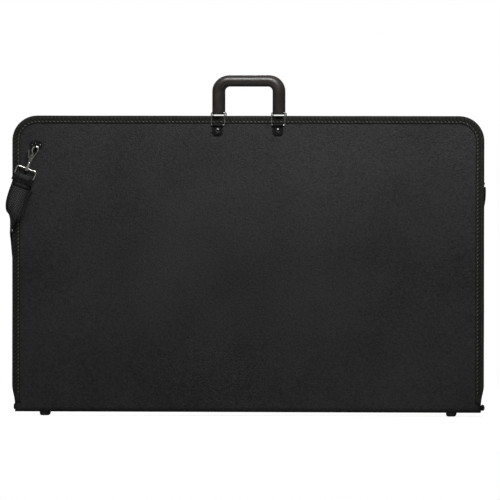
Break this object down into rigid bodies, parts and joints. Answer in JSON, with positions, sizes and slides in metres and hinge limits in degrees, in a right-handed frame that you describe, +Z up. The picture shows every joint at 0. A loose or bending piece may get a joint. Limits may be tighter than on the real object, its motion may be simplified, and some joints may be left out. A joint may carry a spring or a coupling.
{
  "type": "portfolio case",
  "caption": "Large zipped portfolio case on its spine, textured sheet covers on fabric hinges, moulded U handles on wire rings, and a webbing shoulder strap on swivel hooks",
  "frame": {"origin": "below the middle of the spine, on the plane that the feet stand on", "axes": "+X along the spine to the right seen from the front, -Y to the front, +Z up"},
  "size_m": [0.9795, 0.1171, 0.695],
  "materials": {
    "cover_sheet": "fine pebble-grained black polypropylene",
    "board": "dense grey-brown board",
    "board_plastic": "smooth black plastic strip",
    "hinge_fabric": "close black canvas",
    "foot_plastic": "moulded black plastic",
    "rivet_nickel": "dark nickel, worn bright on its top",
    "washer_steel": "plain zinc-plated steel",
    "end_tab_fabric": "folded black binding tape",
    "pocket_fabric": "light black nylon",
    "zip_metal": "black enamelled die casting",
    "slide_black": "black enamel with bright worn ends",
    "webbing": "herringbone-woven dark webbing",
    "tab_vinyl": "black vinyl, folded and riveted",
    "anchor_black": "black enamelled plate and loop",
    "binding_fabric": "ribbed black binding tape with a light stitch",
    "gusset_fabric": "black coated nylon",
    "tape_fabric": "woven black zip tape",
    "coil_nylon": "black nylon coil",
    "ring_nickel": "bright nickel wire",
    "handle_plastic": "satin dark grey-brown moulding",
    "hook_nickel": "bright nickel plate",
    "gate_nickel": "bright nickel plate"
  },
  "bodies": {
    "spine": {"spine_panel": "cover_sheet", "spine_board": "board", "front_hinge_strip": "hinge_fabric", "back_hinge_strip": "hinge_fabric", "spine_feet": "foot_plastic", "foot_rivets": "rivet_nickel", "foot_washers": "washer_steel", "spine_end_tabs": "end_tab_fabric"},
    "front_cover": {"front_panel": "cover_sheet", "front_binding": "binding_fabric", "front_gusset": "gusset_fabric", "front_zip_tape": "tape_fabric", "front_zip_coil": "coil_nylon", "front_handle_stiffener": "board_plastic", "front_handle_tabs": "tab_vinyl", "front_tab_rivets": "rivet_nickel", "front_tab_washers": "washer_steel", "front_strap_anchor": "anchor_black", "front_anchor_rivets": "rivet_nickel", "front_strap_eye": "hook_nickel", "strap_front_fold": "webbing", "strap_front_run": "webbing"},
    "front_ring_left": {"front_ring_left": "ring_nickel"},
    "front_ring_right": {"front_ring_right": "ring_nickel"},
    "front_handle": {"front_handle": "handle_plastic"},
    "front_hook": {"front_hook": "hook_nickel", "front_gate_pin": "washer_steel"},
    "front_hook_gate": {"front_hook_gate": "gate_nickel"},
    "back_cover": {"back_panel": "cover_sheet", "back_binding": "binding_fabric", "back_gusset": "gusset_fabric", "back_zip_tape": "tape_fabric", "back_zip_coil": "coil_nylon", "back_handle_stiffener": "board_plastic", "back_handle_tabs": "tab_vinyl", "back_tab_rivets": "rivet_nickel", "back_tab_washers": "washer_steel", "back_strap_anchor": "anchor_black", "back_anchor_rivets": "rivet_nickel", "back_strap_eye": "hook_nickel", "strap_back_fold": "webbing", "strap_back_run": "webbing", "zip_stops": "zip_metal", "inner_pocket": "pocket_fabric"},
    "back_ring_left": {"back_ring_left": "ring_nickel"},
    "back_ring_right": {"back_ring_right": "ring_nickel"},
    "back_handle": {"back_handle": "handle_plastic"},
    "back_hook": {"back_hook": "hook_nickel", "back_gate_pin": "washer_steel"},
    "back_hook_gate": {"back_hook_gate": "gate_nickel"},
    "zip_slider_left": {"zip_slider_left": "zip_metal"},
    "zip_pull_left": {"zip_pull_left": "zip_metal"},
    "zip_slider_right": {"zip_slider_right": "zip_metal"},
    "zip_pull_right": {"zip_pull_right": "zip_metal"},
    "strap_slide": {"strap_slide": "slide_black"}
  },
  "joints": [
    {"name": "front_cover_hinge", "type": "hinge", "parent": "spine", "child": "front_cover", "pos_m": [0, -0.024, 0.009], "axis": [1, 0, 0], "range_deg": [0, 90]},
    {"name": "back_cover_hinge", "type": "hinge", "parent": "spine", "child": "back_cover", "pos_m": [0, 0.024, 0.009], "axis": [-1, 0, 0], "range_deg": [0, 90]},
    {"name": "front_ring_left_swing", "type": "hinge", "parent": "front_cover", "child": "front_ring_left", "pos_m": [-0.0615, -0.02825, 0.593], "axis": [1, 0, 0], "range_deg": [0, 130]},
    {"name": "front_ring_right_swing", "type": "hinge", "parent": "front_cover", "child": "front_ring_right", "pos_m": [0.0615, -0.02825, 0.593], "axis": [1, 0, 0], "range_deg": [0, 130]},
    {"name": "front_handle_swing", "type": "hinge", "parent": "front_ring_left", "child": "front_handle", "pos_m": [0, -0.02825, 0.6186], "axis": [1, 0, 0], "range_deg": [-12, 30]},
    {"name": "front_hook_swivel", "type": "hinge", "parent": "front_cover", "child": "front_hook", "pos_m": [-0.4462, -0.031, 0.5147], "axis": [0.3584, 0, 0.9336], "range_deg": [-10, 10]},
    {"name": "front_gate_swing", "type": "hinge", "parent": "front_hook", "child": "front_hook_gate", "pos_m": [-0.43975, -0.031, 0.52508], "axis": [0, -1, 0], "range_deg": [0, 10], "stiffness_Nm_per_rad": 0.02, "springref_deg": -11.46},
    {"name": "back_ring_left_swing", "type": "hinge", "parent": "back_cover", "child": "back_ring_left", "pos_m": [0.0615, 0.02825, 0.593], "axis": [-1, 0, 0], "range_deg": [0, 130]},
    {"name": "back_ring_right_swing", "type": "hinge", "parent": "back_cover", "child": "back_ring_right", "pos_m": [-0.0615, 0.02825, 0.593], "axis": [-1, 0, 0], "range_deg": [0, 130]},
    {"name": "back_handle_swing", "type": "hinge", "parent": "back_ring_left", "child": "back_handle", "pos_m": [0, 0.02825, 0.6186], "axis": [-1, 0, 0], "range_deg": [-12, 30]},
    {"name": "back_hook_swivel", "type": "hinge", "parent": "back_cover", "child": "back_hook", "pos_m": [0.4462, 0.031, 0.5147], "axis": [-0.3584, 0, 0.9336], "range_deg": [-10, 10]},
    {"name": "back_gate_swing", "type": "hinge", "parent": "back_hook", "child": "back_hook_gate", "pos_m": [0.43975, 0.031, 0.52508], "axis": [0, 1, 0], "range_deg": [0, 10], "stiffness_Nm_per_rad": 0.02, "springref_deg": -11.46},
    {"name": "zip_slider_left_slide", "type": "slide", "parent": "back_cover", "child": "zip_slider_left", "axis": [-1, 0, 0], "range_m": [0, 0.38]},
    {"name": "zip_pull_left_flip", "type": "hinge", "parent": "zip_slider_left", "child": "zip_pull_left", "pos_m": [-0.036, 0, 0.6065], "axis": [0, 1, 0], "range_deg": [0, 170]},
    {"name": "zip_slider_right_slide", "type": "slide", "parent": "back_cover", "child": "zip_slider_right", "axis": [1, 0, 0], "range_m": [0, 0.38]},
    {"name": "zip_pull_right_flip", "type": "hinge", "parent": "zip_slider_right", "child": "zip_pull_right", "pos_m": [0.036, 0, 0.6065], "axis": [0, -1, 0], "range_deg": [0, 170]},
    {"name": "strap_slide_travel", "type": "slide", "parent": "front_cover", "child": "strap_slide", "axis": [-0.3584, 0, -0.9336], "range_m": [0, 0.008]}
  ],
  "couplings": [
    {"joint": "front_ring_right_swing", "follows": "front_ring_left_swing", "ratio": 1},
    {"joint": "back_ring_right_swing", "follows": "back_ring_left_swing", "ratio": 1}
  ]
}
